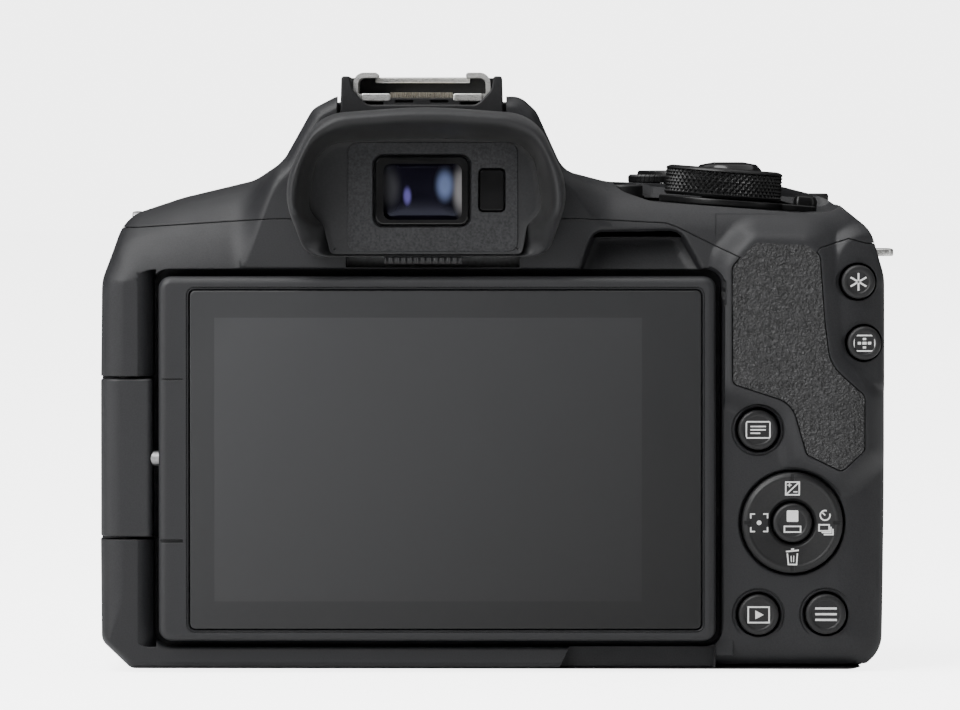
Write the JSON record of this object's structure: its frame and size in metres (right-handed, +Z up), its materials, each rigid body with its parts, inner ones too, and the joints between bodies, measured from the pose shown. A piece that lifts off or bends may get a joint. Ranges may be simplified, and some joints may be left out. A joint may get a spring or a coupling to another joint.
{
  "type": "interchangeable-lens camera",
  "caption": "Compact mirrorless camera with a swing-out monitor, electronic viewfinder, accessory shoe, pop-up flash and zoom lens, for taking stills and video.",
  "frame": {"origin": "under the middle of the whole camera, on the plane that it stands on", "axes": "+X to the right as the user sees the back, +Y towards the subject, along the lens axis, +Z up"},
  "size_m": [0.1186, 0.0958, 0.0889],
  "materials": {
    "body_plastic": "fine grained matte moulding",
    "dark_plastic": "smooth satin",
    "dial_plastic": "satin, diamond knurled",
    "button_plastic": "satin",
    "gloss_plastic": "polished",
    "grip_rubber": "wrinkled leather grain",
    "eyecup_rubber": "smooth satin",
    "lens_glass": "coated, polished",
    "screen_glass": "polished, with a soft reflection",
    "flash_lens": "ribbed, translucent",
    "steel": "brushed",
    "frame_metal": "die cast",
    "contact_metal": "plated",
    "circuit_board": "solder mask"
  },
  "bodies": {
    "camera_body": {"rear_cover": "body_plastic", "front_cover": "body_plastic", "top_cover": "body_plastic", "bottom_plate": "body_plastic", "grip_rubber": "grip_rubber", "thumb_rubber": "grip_rubber", "eyecup": "eyecup_rubber", "viewfinder_frame": "dark_plastic", "eyepiece_lens": "lens_glass", "eye_sensor_window": "gloss_plastic", "viewfinder_display": "gloss_plastic", "shoe_housing": "dark_plastic", "shoe_rails": "steel", "shoe_contacts": "contact_metal", "hinge_pin": "steel", "mount_ring": "steel", "lens_barrel": "dark_plastic", "battery": "dark_plastic", "memory_card": "dark_plastic", "tripod_socket": "steel", "base_screw_1": "steel", "base_screw_2": "steel", "strap_lug_left": "steel", "strap_lug_right": "steel", "terminal_block": "steel", "chassis": "frame_metal", "main_board": "circuit_board", "image_sensor": "gloss_plastic", "shutter_unit": "dark_plastic"},
    "monitor_arm": {"hinge_block": "body_plastic", "tilt_shaft": "steel"},
    "monitor": {"monitor_bezel": "dark_plastic", "monitor_back": "dark_plastic", "monitor_glass": "screen_glass", "display_panel": "gloss_plastic"},
    "flash": {"flash_housing": "body_plastic", "flash_window": "flash_lens"},
    "mode_dial": {"mode_dial": "dial_plastic"},
    "power_lever": {"power_lever": "dial_plastic"},
    "main_dial": {"main_dial": "dial_plastic"},
    "shutter_button": {"shutter_button": "button_plastic"},
    "movie_button": {"movie_button": "button_plastic"},
    "iso_button": {"iso_button": "button_plastic"},
    "ae_lock_button": {"ae_lock_button": "button_plastic"},
    "af_point_button": {"af_point_button": "button_plastic"},
    "info_button": {"info_button": "button_plastic"},
    "set_button": {"set_button": "button_plastic"},
    "play_button": {"play_button": "button_plastic"},
    "menu_button": {"menu_button": "button_plastic"},
    "cross_key_pivot": {"cross_key_pivot": "steel"},
    "cross_key_ring": {"cross_key_ring": "button_plastic"},
    "diopter_slider": {"diopter_slider": "dark_plastic"},
    "zoom_ring": {"zoom_ring": "dial_plastic"},
    "control_ring": {"control_ring": "dial_plastic"},
    "inner_barrel": {"inner_barrel": "dark_plastic", "front_lens": "lens_glass"},
    "lens_release_button": {"lens_release_button": "button_plastic"},
    "battery_door": {"battery_door": "body_plastic"},
    "battery_latch": {"battery_latch": "dark_plastic"},
    "terminal_cover": {"terminal_cover": "eyecup_rubber"}
  },
  "joints": [
    {"name": "monitor_swing", "type": "hinge", "parent": "camera_body", "child": "monitor_arm", "pos_m": [-0.0553, -0.0304, 0.0317], "axis": [0, 0, -1], "range_deg": [0, 175]},
    {"name": "monitor_tilt", "type": "hinge", "parent": "monitor_arm", "child": "monitor", "pos_m": [-0.0505, -0.0328, 0.0316], "axis": [-1, 0, 0], "range_deg": [0, 30]},
    {"name": "flash_raise", "type": "hinge", "parent": "camera_body", "child": "flash", "pos_m": [-0.0114, -0.0249, 0.0829], "axis": [1, 0, 0], "range_deg": [0, 55]},
    {"name": "mode_dial_turn", "type": "hinge", "parent": "camera_body", "child": "mode_dial", "pos_m": [0.0336, -0.0204, 0.0702], "axis": [0.0767, 0, 0.9971], "continuous": true},
    {"name": "power_lever_turn", "type": "hinge", "parent": "camera_body", "child": "power_lever", "pos_m": [0.0336, -0.0204, 0.0702], "axis": [0.0767, 0, 0.9971], "range_deg": [0, 30]},
    {"name": "main_dial_turn", "type": "hinge", "parent": "camera_body", "child": "main_dial", "pos_m": [0.0283, 0.0006, 0.0724], "axis": [0, 0, 1], "continuous": true},
    {"name": "shutter_press", "type": "slide", "parent": "camera_body", "child": "shutter_button", "axis": [0, 0, -1], "range_m": [0, 0.001], "stiffness_N_per_m": 600},
    {"name": "movie_press", "type": "slide", "parent": "camera_body", "child": "movie_button", "axis": [0, 0, -1], "range_m": [0, 0.0004], "stiffness_N_per_m": 800},
    {"name": "iso_press", "type": "slide", "parent": "camera_body", "child": "iso_button", "axis": [0, 0, -1], "range_m": [0, 0.0004], "stiffness_N_per_m": 800},
    {"name": "ae_lock_press", "type": "slide", "parent": "camera_body", "child": "ae_lock_button", "axis": [0, 1, 0], "range_m": [0, 0.0005], "stiffness_N_per_m": 800},
    {"name": "af_point_press", "type": "slide", "parent": "camera_body", "child": "af_point_button", "axis": [0, 1, 0], "range_m": [0, 0.0005], "stiffness_N_per_m": 800},
    {"name": "info_press", "type": "slide", "parent": "camera_body", "child": "info_button", "axis": [0, 1, 0], "range_m": [0, 0.0005], "stiffness_N_per_m": 800},
    {"name": "set_press", "type": "slide", "parent": "camera_body", "child": "set_button", "axis": [0, 1, 0], "range_m": [0, 0.0005], "stiffness_N_per_m": 800},
    {"name": "play_press", "type": "slide", "parent": "camera_body", "child": "play_button", "axis": [0, 1, 0], "range_m": [0, 0.0005], "stiffness_N_per_m": 800},
    {"name": "menu_press", "type": "slide", "parent": "camera_body", "child": "menu_button", "axis": [0, 1, 0], "range_m": [0, 0.0005], "stiffness_N_per_m": 800},
    {"name": "cross_key_up_down", "type": "hinge", "parent": "camera_body", "child": "cross_key_pivot", "pos_m": [0.0436, -0.0322, 0.0221], "axis": [1, 0, 0], "range_deg": [-2.5, 2.5], "stiffness_Nm_per_rad": 0.03},
    {"name": "cross_key_left_right", "type": "hinge", "parent": "cross_key_pivot", "child": "cross_key_ring", "pos_m": [0.0436, -0.0322, 0.0221], "axis": [0, 0, 1], "range_deg": [-2.5, 2.5], "stiffness_Nm_per_rad": 0.03},
    {"name": "diopter_slide", "type": "slide", "parent": "camera_body", "child": "diopter_slider", "axis": [1, 0, 0], "range_m": [-0.0025, 0.0025]},
    {"name": "zoom_turn", "type": "hinge", "parent": "camera_body", "child": "zoom_ring", "pos_m": [-0.0113, 0.0236, 0.0375], "axis": [0, 1, 0], "range_deg": [0, 60]},
    {"name": "barrel_slide", "type": "slide", "parent": "camera_body", "child": "inner_barrel", "axis": [0, 1, 0], "range_m": [0, 0.012]},
    {"name": "control_ring_turn", "type": "hinge", "parent": "camera_body", "child": "control_ring", "pos_m": [-0.0113, 0.0354, 0.0375], "axis": [0, 1, 0], "continuous": true},
    {"name": "lens_release_press", "type": "slide", "parent": "camera_body", "child": "lens_release_button", "axis": [0, -1, 0], "range_m": [0, 0.0008], "stiffness_N_per_m": 800},
    {"name": "battery_door_open", "type": "hinge", "parent": "camera_body", "child": "battery_door", "pos_m": [0.0516, -0.0104, 0.0009], "axis": [0, -1, 0], "range_deg": [0, 90]},
    {"name": "battery_latch_slide", "type": "slide", "parent": "battery_door", "child": "battery_latch", "axis": [1, 0, 0], "range_m": [0, 0.0025]},
    {"name": "terminal_cover_open", "type": "hinge", "parent": "camera_body", "child": "terminal_cover", "pos_m": [-0.059, -0.0082, 0.033], "axis": [0, 0, -1], "range_deg": [0, 100]}
  ],
  "couplings": [
    {"joint": "monitor_tilt", "follows": "monitor_swing", "ratio": 0.17143},
    {"joint": "zoom_turn", "follows": "barrel_slide", "rad_per_m": 87.266}
  ]
}
